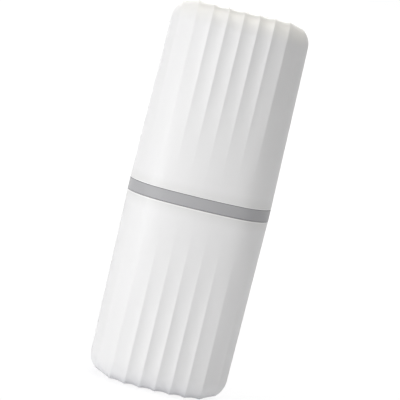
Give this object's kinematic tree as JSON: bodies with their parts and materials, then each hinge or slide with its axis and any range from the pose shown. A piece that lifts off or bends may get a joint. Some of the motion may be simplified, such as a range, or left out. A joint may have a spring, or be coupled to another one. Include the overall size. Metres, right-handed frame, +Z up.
{
  "type": "toothbrush travel cup",
  "caption": "Oval travel case for toothbrushes: two fluted cups that push onto a grey ring between them, with a lift-out rack inside.",
  "frame": {"origin": "middle of the closed end that the lower cup stands on", "axes": "+Z up along the case from the lower cup to the upper cup, +X along the width of the oval, front at -Y"},
  "size_m": [0.075, 0.06, 0.201],
  "materials": {
    "cup_plastic": "fine matt white polypropylene",
    "ring_plastic": "matt mid grey polypropylene",
    "seal_silicone": "soft translucent grey silicone",
    "rack_plastic": "matt light grey polypropylene"
  },
  "bodies": {
    "lower_cup": {"lower_cup": "cup_plastic"},
    "ring": {"joint_ring": "ring_plastic", "lower_seal": "seal_silicone", "upper_seal": "seal_silicone"},
    "rack": {"brush_rack": "rack_plastic"},
    "upper_cup": {"upper_cup": "cup_plastic"}
  },
  "joints": [
    {"name": "ring_lift", "type": "slide", "parent": "lower_cup", "child": "ring", "axis": [0, 0, 1], "range_m": [0, 0.04]},
    {"name": "upper_cup_lift", "type": "slide", "parent": "ring", "child": "upper_cup", "axis": [0, 0, 1], "range_m": [0, 0.1]},
    {"name": "rack_lift", "type": "slide", "parent": "ring", "child": "rack", "axis": [0, 0, 1], "range_m": [0, 0.08]}
  ]
}
